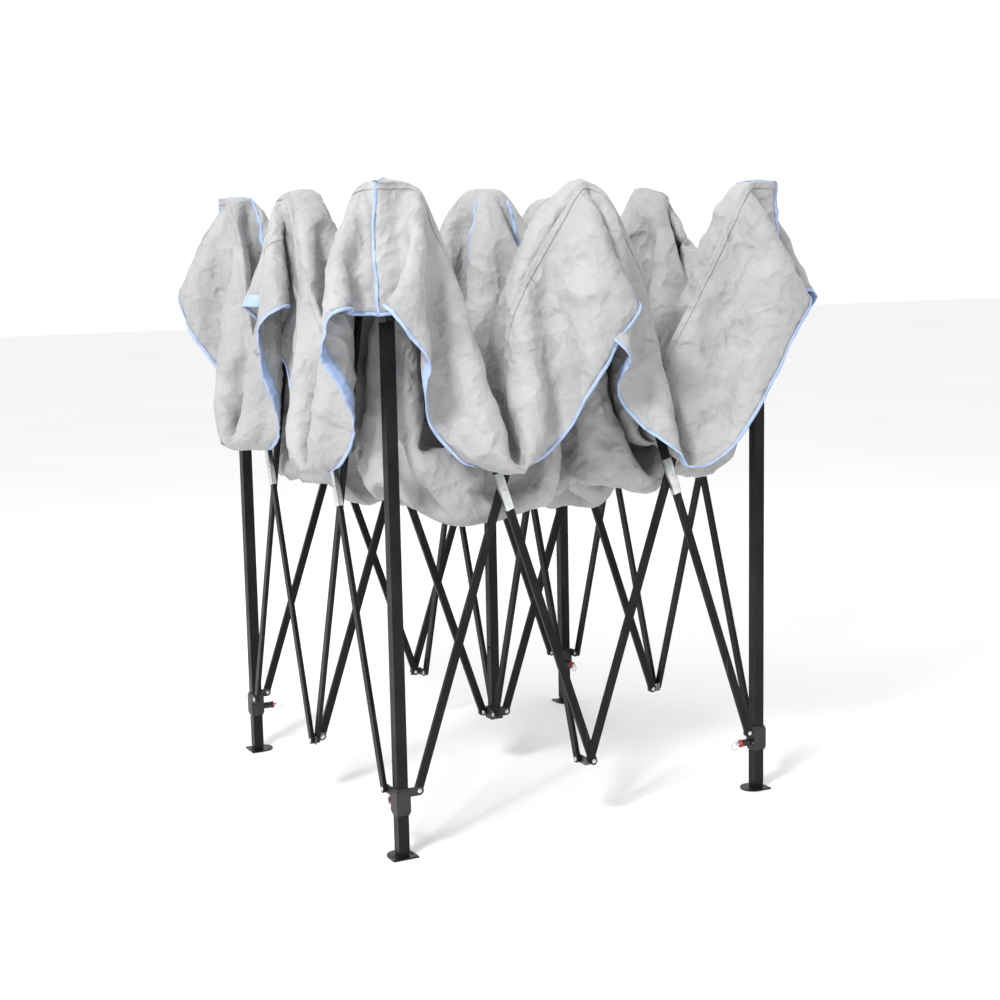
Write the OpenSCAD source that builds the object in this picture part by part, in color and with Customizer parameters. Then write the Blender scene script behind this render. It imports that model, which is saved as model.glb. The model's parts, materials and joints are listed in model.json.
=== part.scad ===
// Pop-up gazebo, half folded: four telescoping legs joined by scissor trusses, with a loose draped canopy.
// +Z up, origin on the floor under the middle of the frame.

/* [Frame] */
// Height of the upper row of pivots above the floor
top_z = 1574; // [1540:1:1620]
// Bar length between its end pivots
bar_l = 1490; // [1470:5:1500]
// Angle of every bar from the vertical as it stands, half folded
fold_angle = 18.7; // [16:0.1:24]

/* [Bars] */
// Width of a bar
bar_w = 20; // [18:1:22]
// Thickness of a bar
bar_t = 10; // [8:1:10]
// Wall of a bar's steel tube
bar_wall = 0.8; // [0.6:0.1:1.5]
// Length of the zinc sleeve at the middle of a bar
sleeve_l = 96; // [60:2:120]

/* [Legs] */
// Width of the outer leg tube
leg_w = 28; // [27:1:30]
// Wall of the leg tubes
leg_wall = 1.2; // [1:0.1:1.4]
// Length of the inner leg tube
inner_leg_l = 1300; // [1000:10:1400]
// Width of the centre pole
pole_w = 25; // [22:1:25]

/* [Feet] */
// Width of a foot plate
foot_w = 66; // [50:1:80]
// Thickness of a foot plate
foot_t = 3.5; // [2:0.5:6]
// Radius of the peg holes in a foot plate
peg_r = 4.5; // [3:0.5:6]

/* [Canopy] */
// Depth of the valance below the roof's edge
valance_h = 300; // [200:10:350]
// How far the valance flares out beyond the legs
flare = 150; // [80:5:180]

/* [Hidden] */
// Pivot distances: from a leg's axis, from the middle of a side, and from the pole's axis
leg_ear = 42;
hub_ear = 30;
mid_ear = leg_ear - hub_ear;
half = leg_ear + bar_l * sin(fold_angle);   // leg axis to the middle, along a side
low_z = top_z - bar_l * cos(fold_angle);    // lower row of pivots

// The two bars of a scissor lie in two planes, either side of the bracket plates
plate_y = 17.5;                             // middle of the plates, out from the leg line
plate_t = 3;
plane_gap = 14;                             // from one bar plane to the other
outer_y = plate_y + plane_gap / 2;
inner_y = plate_y - plane_gap / 2;
ear_r = 11;

pin_r = 3;
run_r = pin_r + 0.05;                       // hole that turns on its pin
loose_r = pin_r + 0.25;                     // hole at a pivot that closes a linkage loop
head_r = 5;
head_t = 1.5;
head_gap = 0.5;                             // between a bar's face and the next head or plate
sleeve_wall = 1.5;
bar_end_plug = 25;                          // solid stretch of a bar at each end
bar_mid_plug = 15;                          // and either side of its middle

block_w = 37;                               // slider and leg cap
leg_bore = leg_w + 0.6;
leg_socket = leg_w + 0.2;
ear_start = 14;                             // where a leg's ears leave their block
cap_up = 14;                                // leg cap above and below its pivots
cap_down = 22;
cap_roof = 4;                               // thickness over the leg's end
leg_foot_z = 12;                            // lower end of the outer leg
slider_up = 10;                             // slider above and below its pivots
slider_down = 56;
slider_step = 6;                            // narrower stretch at each end
barrel_drop = 34;                           // pull pin's axis below the pivots
barrel_r = 9;
barrel_end = 48;
lock_pin_r = 4;
lock_bore_r = lock_pin_r + 0.05;
grip_r = 10.5;                              // collar on the pull pin
grip_t = 4;
grip_gap = 0.3;
ring_r = 11;                                // pull ring, to the middle of its wire
ring_wire_r = 1.6;
ring_out = 19;                              // ring's middle beyond the barrel's end
ring_drop = 5;
lock_z = 1035;                              // hole that the pull pin snaps into when the frame is open
hub_w = 36;
hub_up = 12;                                // top hub above and below its pivots
hub_down = 18;
collar_w = 32;
collar_l = 85;
pole_bore = pole_w + 0.7;
pole_top = top_z + 9;
pole_socket = pole_w + 0.2;
rest_pin_z = low_z + 184;                   // small stop pin on the pole
pole_foot = low_z - 14;
cap_h = 8;
lid_z = 13;                                 // top bracket's lid above its pivots
lid_t = 3;
bracket_side = plate_y + plate_t / 2;       // outer face of a middle bracket's plates
bracket_w = plate_y + 13.5;
foot_tongue = 11;                           // middle of the foot's round end, in from the leg
foot_square = 26;                           // its square end, out from the leg
peg_x = 24;

// Canopy: a cone over each of nine peaks, flat on top, cut off where the folds bottom out
peak_gap = 19;                              // canopy's underside above the top pivots
peak_r = 82;
slope = 3.46;
fold_floor = 834;                           // lowest fold below the top pivots
hem_floor = 700;                            // lowest hem below the top pivots
sheet_t = 5;                                // measured straight up
grid_n = 13;                                // grid cells between two peaks
roof_edge = half + 34;
flare_out = half + flare;
hem_n = 4;

black = [0.10, 0.11, 0.10];
zinc = [0.72, 0.73, 0.74];
cloth = [0.88, 0.88, 0.87];

// The frame is the same on all four sides: side 0 is the front, then right, back and left.
// A side's own view has its left leg at (-half, -half) and its right leg at (half, -half).
module on_side(k) rotate([0, 0, 90 * k]) children();
module on_leg(k) on_side(k) translate([-half, -half, 0]) children();

module centred_box(w, z0, z1, d = 0)
    translate([-w / 2, -(d == 0 ? w : d) / 2, z0]) cube([w, d == 0 ? w : d, z1 - z0]);

module tube(w, wall, z0, z1) difference() {
    centred_box(w, z0, z1);
    centred_box(w - 2 * wall, z0 - 1, z1 + 1);
}

// A rod along Y from y0 to y1
module rod_y(r, y0, y1) translate([0, y1, 0]) rotate([90, 0, 0]) cylinder(r = r, h = y1 - y0, $fn = 32);

// A rivet along Y whose heads sit outside y0 and y1
module rivet_y(y0, y1) {
    rod_y(pin_r, y0 - head_t / 2, y1 + head_t / 2);
    rod_y(head_r, y0 - head_t, y0);
    rod_y(head_r, y1, y1 + head_t);
}

// ---- bars ----

// A hollow bar up Z from its lower pivot at the origin, thickness along Y.
// centre_dir is 0 for a hole at the middle, or the side (+1 or -1) that the middle rivet reaches to.
module bar(lower_r, upper_r, centre_dir = 0) difference() {
    union() {
        rotate([90, 0, 0]) translate([0, 0, -bar_t / 2]) linear_extrude(bar_t) {
            translate([-bar_w / 2, 0]) square([bar_w, bar_l]);
            circle(d = bar_w, $fn = 48);
            translate([0, bar_l]) circle(d = bar_w, $fn = 48);
        }
        if (centre_dir != 0) translate([0, 0, bar_l / 2]) {
            centred_box(bar_w + 2 * sleeve_wall, -sleeve_l / 2, sleeve_l / 2, bar_t + 2 * sleeve_wall);
            facing_y(centre_dir) rivet_y(-bar_t / 2 - sleeve_wall, plane_gap + bar_t / 2 + head_gap);
        }
    }
    for (z = [bar_end_plug, bar_l / 2 + bar_mid_plug])
        centred_box(bar_w - 2 * bar_wall, z, z + bar_l / 2 - bar_end_plug - bar_mid_plug, bar_t - 2 * bar_wall);
    rod_y(lower_r, -bar_t, bar_t);
    translate([0, 0, bar_l]) rod_y(upper_r, -bar_t, bar_t);
    if (centre_dir == 0) translate([0, 0, bar_l / 2]) rod_y(run_r, -bar_t, bar_t);
}

// Turns a child drawn towards +Y to face -Y where dir is negative
module facing_y(dir) if (dir > 0) children(); else mirror([0, 1, 0]) children();

// A bar of a side truss. lean is +1 where its top leans right, seen from outside.
module side_bar(x_low, y, lean, lower_r, upper_r, centre_dir) color(black)
    translate([x_low, -half - y, low_z]) rotate([0, lean * fold_angle, 0])
        bar(lower_r, upper_r, centre_dir);

module bar_left_outer(k) on_side(k) side_bar(0, outer_y, -1, loose_r, loose_r, 1);
module bar_left_inner(k) on_side(k) side_bar(leg_ear - half, inner_y, 1, loose_r, run_r, 0);
module bar_right_outer(k) on_side(k) side_bar(half - leg_ear, outer_y, -1, run_r, run_r, 1);
module bar_right_inner(k) on_side(k) side_bar(0, inner_y, 1, loose_r, run_r, 0);

// A bar of the truss from the middle of a side to the hub
module cross_bar(x, y_low, lean, lower_r, upper_r, centre_dir) color(black)
    translate([-x, y_low, low_z]) rotate([0, 0, 90]) rotate([0, lean * fold_angle, 0])
        bar(lower_r, upper_r, centre_dir);

module cross_outer(k) on_side(k) cross_bar(outer_y, mid_ear - half, 1, run_r, run_r, -1);
module cross_inner(k) on_side(k) cross_bar(inner_y, -hub_ear, -1, k == 0 ? run_r : loose_r, run_r, 0);

// ---- brackets ----

// An ear along +X from the bracket's axis, in the plate plane, with a rivet through its bar.
// bar_side is -1 where the bar lies outside the plate and +1 where it lies inside.
module ear(reach, bar_side, start = 0) {
    translate([0, plate_t / 2 - plate_y, 0]) rotate([90, 0, 0]) linear_extrude(plate_t) {
        translate([start, -ear_r]) square([reach - start, 2 * ear_r]);
        translate([reach, 0]) circle(r = ear_r, $fn = 48);
    }
    translate([reach, -plate_y, 0]) facing_y(bar_side)
        rivet_y(-plate_t / 2, plane_gap / 2 + bar_t / 2 + head_gap);
}

module swap_xy() mirror([1, -1, 0]) children();

// Two ears at a right angle, for the trusses that meet at a leg
module leg_ears(first_side, second_side) {
    ear(leg_ear, first_side, ear_start);
    swap_xy() ear(leg_ear, second_side, ear_start);
}

module leg_cap(k) color(black) on_leg(k) translate([0, 0, top_z]) {
    difference() {
        union() {
            centred_box(block_w, -cap_down, cap_up);
            leg_ears(-1, 1);
        }
        centred_box(leg_socket, -cap_down - 1, cap_up - cap_roof);
    }
}

module slider(k) color(black) on_leg(k) translate([0, 0, low_z]) difference() {
    union() {
        centred_box(block_w, slider_step - slider_down, slider_up - slider_step);
        centred_box(block_w - 4, -slider_down, slider_up);
        leg_ears(1, -1);
        translate([0, 0, -barrel_drop]) rod_y(barrel_r, block_w / 2 - 4, barrel_end);
    }
    centred_box(leg_bore, -slider_down - 1, slider_up + 1);
    translate([0, 0, -barrel_drop]) rod_y(lock_bore_r, 0, barrel_end + 1);
}

// The spring-loaded lock: a pin through the slider's barrel, a collar and a ring to pull it by
module pull_pin(k) color(zinc) on_leg(k) translate([0, 0, low_z - barrel_drop]) {
    rod_y(lock_pin_r, leg_w / 2 + 0.4, barrel_end + ring_out - 7);
    rod_y(grip_r, barrel_end + grip_gap, barrel_end + grip_gap + grip_t);
    translate([0, barrel_end + ring_out, -ring_drop]) rotate([0, 90, 0])
        rotate_extrude($fn = 48) translate([ring_r, 0]) circle(r = ring_wire_r, $fn = 16);
}

module foot_outline() {
    translate([-foot_w / 2, -foot_square]) square([foot_w, foot_square + foot_tongue]);
    translate([0, foot_tongue]) circle(d = foot_w, $fn = 64);
}

module foot(k) color(black) on_leg(k) difference() {
    linear_extrude(foot_t) foot_outline();
    for (x = [-peg_x, peg_x]) translate([x, 0, -1]) cylinder(r = peg_r, h = foot_t + 2, $fn = 32);
}

module inner_leg(k) color(black) on_leg(k)
    tube(leg_w - 2 * leg_wall - 0.6, leg_wall, foot_t, inner_leg_l);

module leg(k) color(black) on_leg(k) difference() {
    tube(leg_w, leg_wall, leg_foot_z, top_z + 9.5);
    translate([0, 0, lock_z]) rod_y(4.5, 5, leg_w);
}

// Bracket at the middle of a side, top row: a plate between the side bars, and an ear for the
// cross bar, joined by a lid that passes over the inner side bar
module top_bracket(k) color(black) on_side(k) translate([0, -half, top_z]) {
    translate([-bracket_side, -bracket_side, -12]) cube([bracket_w, plate_t, lid_z + lid_t + 12]);
    translate([-bracket_side, -32, lid_z]) cube([bracket_w, 56, lid_t]);
    translate([-bracket_side, -3, 0]) cube([plate_t, 27, lid_z + lid_t]);
    rivet_y(-outer_y - bar_t / 2 - head_gap, -inner_y + bar_t / 2 + head_gap);
    swap_xy() ear(mid_ear, 1, -3);
}

// Bracket at the middle of a side, bottom row
module bottom_bracket(k) color(zinc) on_side(k) translate([0, -half, low_z]) {
    translate([-bracket_side, -bracket_side, -ear_r]) cube([bracket_w, plate_t, 2 * ear_r]);
    rivet_y(-outer_y - bar_t / 2 - head_gap, -inner_y + bar_t / 2 + head_gap);
    swap_xy() ear(mid_ear, -1, -plate_y);
}

module hub_ears(bar_side) for (k = [0:3]) on_side(k) mirror([0, 1, 0]) swap_xy() ear(hub_ear, bar_side, 10);

module hub_top() color(black) translate([0, 0, top_z]) difference() {
    union() {
        centred_box(hub_w, -hub_down, hub_up);
        centred_box(collar_w, -collar_l, 0);
        hub_ears(-1);
    }
    centred_box(pole_bore, -collar_l - 1, hub_up + 1);
}

module hub_bottom() color(black) translate([0, 0, low_z]) difference() {
    union() {
        centred_box(hub_w, -hub_down, hub_up + 2);
        hub_ears(1);
    }
    centred_box(pole_socket, pole_foot - low_z - 0.2, hub_up + 3);
}

// The pole's upper end is closed by a domed cap under the canopy's middle
module centre_pole() color(black) {
    tube(pole_w, leg_wall, pole_foot, pole_top);
    translate([0, 0, pole_top]) intersection() {
        centred_box(pole_w, -1, cap_h);
        translate([0, 0, cap_h - 20]) sphere(r = 20, $fn = 64);
    }
    translate([-pole_w / 2 - 4, 0, rest_pin_z]) rotate([0, 90, 0]) cylinder(r = 2.5, h = 6, $fn = 24);
}

// ---- canopy ----

// Distance to the nearest of the nine peaks, which stand on a square grid of pitch half
function to_peak(v) = let (n = max(-1, min(1, round(v / half)))) v - n * half;
function drape(x, y) =
    max(-fold_floor, peak_gap - slope * max(0, norm([to_peak(x), to_peak(y)]) - peak_r));

// A closed sheet of thickness sheet_t from rows of points on its underside
function sheet_points(rows) = [for (lift = [0, sheet_t]) for (row = rows) for (p = row) p + [0, 0, lift]];
// Faces of the two skins of an m by n net, then of its border
function sheet_faces(m, n) = concat(
    [for (i = [0:m - 2]) for (j = [0:n - 2]) for (f = skin(i, j, m, n)) f],
    [for (i = [0:m - 2]) for (e = [[0, 1], [n - 1, 0]])
        wall(i * n + e[0], (i + 1) * n + e[0], m * n, e[1])],
    [for (j = [0:n - 2]) for (e = [[0, 0], [m - 1, 1]])
        wall(e[0] * n + j, e[0] * n + j + 1, m * n, e[1])]
);
function skin(i, j, m, n) = let (a = i * n + j, b = a + n, s = m * n) [
    [a, b, b + 1], [a, b + 1, a + 1],
    [a + s, b + 1 + s, b + s], [a + s, a + 1 + s, b + 1 + s]
];
function wall(a, b, s, flip) = flip == 1 ? [a, a + s, b + s, b] : [a, b, b + s, a + s];

module sheet(rows) color(cloth) polyhedron(
    points = sheet_points(rows), faces = sheet_faces(len(rows), len(rows[0])), convexity = 10);

// Beyond the roof's edge the valance flares out and down to its hem
function beyond(x, y) = (max(abs(x), abs(y)) - roof_edge) / (flare_out - roof_edge);
function at_edge(v) = max(-roof_edge, min(roof_edge, v));
function canopy_z(x, y) = let (edge = drape(at_edge(x), at_edge(y)), hem = max(edge - valance_h, -hem_floor))
    top_z + edge + max(0, beyond(x, y)) * (min(edge, hem) - edge);

module canopy() {
    valance_lines = [for (j = [1:hem_n]) roof_edge + (flare_out - roof_edge) * j / hem_n];
    lines = concat(
        [for (j = [hem_n - 1:-1:0]) -valance_lines[j]],
        [-roof_edge], [for (i = [-grid_n:grid_n]) i * half / grid_n], [roof_edge],
        valance_lines
    );
    sheet([for (x = lines) [for (y = lines) [x, y, canopy_z(x, y)]]]);
}

canopy();
hub_top();
hub_bottom();
centre_pole();
top_bracket(0);  // front_top_bracket
top_bracket(1);  // right_top_bracket
top_bracket(2);  // back_top_bracket
top_bracket(3);  // left_top_bracket
bottom_bracket(0);  // front_bottom_bracket
bottom_bracket(1);  // right_bottom_bracket
bottom_bracket(2);  // back_bottom_bracket
bottom_bracket(3);  // left_bottom_bracket
bar_left_outer(0);  // front_bar_left_outer
bar_left_outer(1);  // right_bar_left_outer
bar_left_outer(2);  // back_bar_left_outer
bar_left_outer(3);  // left_bar_left_outer
bar_left_inner(0);  // front_bar_left_inner
bar_left_inner(1);  // right_bar_left_inner
bar_left_inner(2);  // back_bar_left_inner
bar_left_inner(3);  // left_bar_left_inner
bar_right_outer(0);  // front_bar_right_outer
bar_right_outer(1);  // right_bar_right_outer
bar_right_outer(2);  // back_bar_right_outer
bar_right_outer(3);  // left_bar_right_outer
bar_right_inner(0);  // front_bar_right_inner
bar_right_inner(1);  // right_bar_right_inner
bar_right_inner(2);  // back_bar_right_inner
bar_right_inner(3);  // left_bar_right_inner
cross_outer(0);  // front_cross_outer
cross_outer(1);  // right_cross_outer
cross_outer(2);  // back_cross_outer
cross_outer(3);  // left_cross_outer
cross_inner(0);  // front_cross_inner
cross_inner(1);  // right_cross_inner
cross_inner(2);  // back_cross_inner
cross_inner(3);  // left_cross_inner
leg(0);  // front_left_leg
leg(1);  // front_right_leg
leg(2);  // back_right_leg
leg(3);  // back_left_leg
leg_cap(0);  // front_left_leg_cap
leg_cap(1);  // front_right_leg_cap
leg_cap(2);  // back_right_leg_cap
leg_cap(3);  // back_left_leg_cap
inner_leg(0);  // front_left_inner_leg
inner_leg(1);  // front_right_inner_leg
inner_leg(2);  // back_right_inner_leg
inner_leg(3);  // back_left_inner_leg
foot(0);  // front_left_foot
foot(1);  // front_right_foot
foot(2);  // back_right_foot
foot(3);  // back_left_foot
slider(0);  // front_left_slider
slider(1);  // front_right_slider
slider(2);  // back_right_slider
slider(3);  // back_left_slider
pull_pin(0);  // front_left_pull_pin
pull_pin(1);  // front_right_pull_pin
pull_pin(2);  // back_right_pull_pin
pull_pin(3);  // back_left_pull_pin
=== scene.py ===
"""Looks of the half-folded pop-up gazebo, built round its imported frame.

The frame's own tubes, blocks and brackets stay, with better materials. Rivets, sleeves, collars, rings and the
canopy are made here. The canopy is draped by a cloth simulation: it starts as it hangs when the gazebo is open,
and its nine peaks then move in as the frame folds.
"""

import json
import math

import bpy
import numpy as np
from mathutils import Matrix, Vector

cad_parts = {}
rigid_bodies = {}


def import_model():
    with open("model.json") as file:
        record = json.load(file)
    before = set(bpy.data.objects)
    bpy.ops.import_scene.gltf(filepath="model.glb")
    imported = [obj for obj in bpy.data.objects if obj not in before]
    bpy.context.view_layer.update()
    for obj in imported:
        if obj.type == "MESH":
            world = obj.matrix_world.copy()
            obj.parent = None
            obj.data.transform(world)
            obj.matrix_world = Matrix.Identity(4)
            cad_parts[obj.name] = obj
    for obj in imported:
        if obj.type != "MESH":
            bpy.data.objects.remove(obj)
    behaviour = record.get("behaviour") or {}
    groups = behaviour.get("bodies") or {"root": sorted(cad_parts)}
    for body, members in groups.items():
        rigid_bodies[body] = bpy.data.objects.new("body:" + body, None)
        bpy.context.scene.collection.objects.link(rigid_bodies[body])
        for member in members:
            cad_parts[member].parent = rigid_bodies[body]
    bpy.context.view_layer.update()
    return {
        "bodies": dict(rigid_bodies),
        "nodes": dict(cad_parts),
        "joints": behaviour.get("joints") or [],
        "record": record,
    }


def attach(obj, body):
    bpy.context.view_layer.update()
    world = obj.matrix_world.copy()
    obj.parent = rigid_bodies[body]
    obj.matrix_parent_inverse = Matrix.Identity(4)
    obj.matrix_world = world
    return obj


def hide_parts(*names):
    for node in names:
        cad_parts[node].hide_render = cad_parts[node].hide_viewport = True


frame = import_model()

# ---------------------------------------------------------------- sizes, in metres, as in the frame's design

JOINTS = {j["name"]: j for j in frame["joints"]}
TOP = JOINTS["fold"]["pos_m"][2]                              # upper row of pivots
LOW = JOINTS["front_bottom_bracket_hinge"]["pos_m"][2]        # lower row
MID = (TOP + LOW) / 2
BAR = 1.490                                                   # between a bar's end pivots
BAR_W, BAR_T = 0.020, 0.010
LEG_EAR, HUB_EAR, MID_EAR = 0.042, 0.030, 0.012
FOLD = math.acos((TOP - LOW) / BAR)                           # a bar's angle from the vertical at rest
OPEN = FOLD + math.radians(JOINTS["fold"]["range_deg"][1])
HALF = LEG_EAR + BAR * math.sin(FOLD)                         # leg axis to the middle
HALF_OPEN = LEG_EAR + BAR * math.sin(OPEN)
OUT = HALF_OPEN - HALF                                        # how far a leg moves out as the frame opens
RISE = TOP - LOW - BAR * math.cos(OPEN)                       # how far the pole rises
PLATE_Y, OUTER_Y, INNER_Y = 0.0175, 0.0245, 0.0105            # planes of plates and bars, out from the leg line
PLATE_T = 0.003
SLEEVE_L = 0.096
SLEEVE_WALL = 0.0015
LEG_W = 0.028
SIDES = ("front", "right", "back", "left")
LEGS = ("front_left", "front_right", "back_right", "back_left")
BARREL_Z = LOW - 0.034                                        # pull pin's axis
BARREL_END = 0.048

EDGE = HALF_OPEN + 0.034                                      # roof's half width as cut
EAVE = TOP + 0.023                                            # canopy over the caps
PEAK_RISE = RISE + 0.018                                      # clear of the hub
VALANCE = 0.300
HEM_SWING = 0.006                                             # open, the hem hangs this share wider than the eave
CLOTH_T = 0.0009
TAPE_T = 0.0007
CUSHION = 0.93                                                # bunched cloth holds itself up below this height
SPREAD = 0.150                                                # how far folds reach past the legs
LEG_ROOM, HUB_ROOM = 0.024, 0.052                             # half widths of what the cloth can't enter
HUB_DEPTH = 0.045


# ---------------------------------------------------------------- camera, floor and light

def make_camera():
    """The camera stands outside the front left corner, at eye level, looking slightly down."""
    yaw, pitch, roll = (math.radians(a) for a in (27.27, -8.32, -1.16))
    ahead = Vector((math.sin(yaw) * math.cos(pitch), math.cos(yaw) * math.cos(pitch), math.sin(pitch)))
    level = Vector((math.cos(yaw), -math.sin(yaw), 0))
    upward = level.cross(ahead)
    right = math.cos(roll) * level + math.sin(roll) * upward
    up = math.cos(roll) * upward - math.sin(roll) * level
    data = bpy.data.cameras.new("camera")
    data.sensor_width = 36
    data.lens = 60.8
    camera = bpy.data.objects.new("camera", data)
    turn = Matrix((right, up, -ahead)).transposed().to_4x4()
    camera.matrix_world = Matrix.Translation((-2.082, -4.101, 1.433)) @ turn
    bpy.context.scene.collection.objects.link(camera)
    bpy.context.scene.camera = camera


def soft_light(name, place, target, size, watts):
    data = bpy.data.lights.new(name, "AREA")
    data.energy = watts
    data.size = size
    lamp = bpy.data.objects.new(name, data)
    lamp.location = place
    lamp.rotation_mode = "QUATERNION"
    lamp.rotation_quaternion = (Vector(target) - Vector(place)).to_track_quat("-Z", "Y")
    bpy.context.scene.collection.objects.link(lamp)


def make_studio():
    world = bpy.data.worlds.new("studio")
    world.use_nodes = True
    background = world.node_tree.nodes["Background"]
    tree = world.node_tree
    places = tree.nodes.new("ShaderNodeTexCoord")
    facing = tree.nodes.new("ShaderNodeVectorMath")
    facing.operation = "DOT_PRODUCT"
    facing.inputs[1].default_value = (0.36, 0.70, 0.62)
    tree.links.new(places.outputs["Generated"], facing.inputs[0])
    grade = tree.nodes.new("ShaderNodeMapRange")
    for name, value in (("From Min", -0.6), ("From Max", 0.6), ("To Min", 0.42), ("To Max", 1.12)):
        grade.inputs[name].default_value = value
    tree.links.new(facing.outputs["Value"], grade.inputs["Value"])
    tree.links.new(grade.outputs["Result"], background.inputs["Strength"])
    background.inputs["Color"].default_value = (1, 1, 1, 1)
    bpy.context.scene.world = world
    bpy.context.scene.view_settings.view_transform = "Standard"
    soft_light("key", (-3.4, -2.6, 4.2), (0, 0, 1.1), 1.0, 230)
    soft_light("fill", (3.6, -3.2, 2.4), (0, 0, 1.0), 2.4, 12)
    soft_light("back", (1.5, 4.0, 3.4), (0, 0, 1.1), 2.0, 30)
    floor = new_object("floor", [(-30, -30, 0), (30, -30, 0), (30, 30, 0), (-30, 30, 0)], [(0, 1, 2, 3)])
    floor.location.z = -0.0005
    floor.data.materials.append(plain_material("floor_paint", (0.95, 0.95, 0.95), 0.9))


# ---------------------------------------------------------------- meshes

def new_object(name, verts, faces, smooth=True):
    mesh = bpy.data.meshes.new(name)
    mesh.from_pydata([tuple(map(float, v)) for v in verts], [], [tuple(map(int, f)) for f in faces])
    mesh.validate()
    if smooth:
        mesh.shade_smooth()
    made = bpy.data.objects.new(name, mesh)
    bpy.context.scene.collection.objects.link(made)
    return made


def piece(name, parts, material, body, angle=None):
    """One piece from several (verts, faces) parts, riding on a body. angle splits the shading at sharp edges."""
    verts, faces = [], []
    for part_verts, part_faces in parts:
        faces += [tuple(i + len(verts) for i in f) for f in part_faces]
        verts += [tuple(v) for v in part_verts]
    made = new_object(name, verts, faces)
    if angle is not None:
        made.data.set_sharp_from_angle(angle=math.radians(angle))
    made.data.materials.append(material)
    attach(made, body)
    return made


def quarter(k, p):
    """A point of the front side's frame turned to side k, a quarter turn each."""
    x, y, z = p
    for _ in range(k % 4):
        x, y = -y, x
    return Vector((x, y, z))


def basis(axis):
    """Two directions across an axis."""
    axis = Vector(axis).normalized()
    helper = Vector((0, 0, 1)) if abs(axis.z) < 0.9 else Vector((1, 0, 0))
    across = axis.cross(helper).normalized()
    return across, axis.cross(across)


def lathe(profile, place, axis, turns=24):
    """A closed turned part. profile is a list of (radius, distance along the axis); both ends are on the axis."""
    axis = Vector(axis).normalized()
    a, b = basis(axis)
    verts, faces = [], []
    for r, h in profile[1:-1]:
        for i in range(turns):
            t = 2 * math.pi * i / turns
            verts.append(Vector(place) + axis * h + (a * math.cos(t) + b * math.sin(t)) * r)
    rings = len(profile) - 2
    for j in range(rings - 1):
        for i in range(turns):
            k = (i + 1) % turns
            faces.append((j * turns + i, j * turns + k, (j + 1) * turns + k, (j + 1) * turns + i))
    first, last = len(verts), len(verts) + 1
    verts += [Vector(place) + axis * profile[0][1], Vector(place) + axis * profile[-1][1]]
    for i in range(turns):
        k = (i + 1) % turns
        faces.append((first, k, i))
        faces.append((last, (rings - 1) * turns + i, (rings - 1) * turns + k))
    return verts, faces


def ring(place, axis, radius, wire, turns=48, sides=12):
    a, b = basis(axis)
    axis = Vector(axis).normalized()
    verts, faces = [], []
    for i in range(turns):
        t = 2 * math.pi * i / turns
        out = a * math.cos(t) + b * math.sin(t)
        for j in range(sides):
            s = 2 * math.pi * j / sides
            verts.append(Vector(place) + out * (radius + wire * math.cos(s)) + axis * wire * math.sin(s))
    for i in range(turns):
        for j in range(sides):
            n, m = (i + 1) % turns, (j + 1) % sides
            faces.append((i * sides + j, n * sides + j, n * sides + m, i * sides + m))
    return verts, faces


def rounded_tube(centre, along, wide, size, wall, corner, steps=4):
    """A rectangular tube with rounded edges. along carries its length; size is (width, thickness)."""
    along, wide = Vector(along), Vector(wide).normalized()
    deep = along.cross(wide).normalized()
    lip = min(0.0012, along.length / 8)

    def outline(w, t, r):
        pts = []
        for q in range(4):
            cx = (w / 2 - r) * (1 if q in (0, 3) else -1)
            cy = (t / 2 - r) * (1 if q in (0, 1) else -1)
            for s in range(steps + 1):
                a = math.pi / 2 * (q + s / steps)
                pts.append((cx + r * math.cos(a), cy + r * math.sin(a)))
        return pts

    w, t = size
    inner = (w - 2 * wall, t - 2 * wall, max(corner - wall, 0.0003))
    rows = [
        (-0.5, 0, inner), (-0.5, 0, (w - 2 * lip * 0.6, t - 2 * lip * 0.6, corner * 0.8)),
        (-0.5, lip, (w, t, corner)), (0.5, -lip, (w, t, corner)),
        (0.5, 0, (w - 2 * lip * 0.6, t - 2 * lip * 0.6, corner * 0.8)), (0.5, 0, inner),
    ]
    verts, faces = [], []
    for share, shift, (rw, rt, rr) in rows:
        base = Vector(centre) + along * share + along.normalized() * shift
        verts += [base + wide * x + deep * y for x, y in outline(rw, rt, rr)]
    n = 4 * (steps + 1)
    for j in range(len(rows)):
        k = (j + 1) % len(rows)
        for i in range(n):
            m = (i + 1) % n
            faces.append((j * n + i, j * n + m, k * n + m, k * n + i))
    return verts, faces


# ---------------------------------------------------------------- materials

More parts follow.
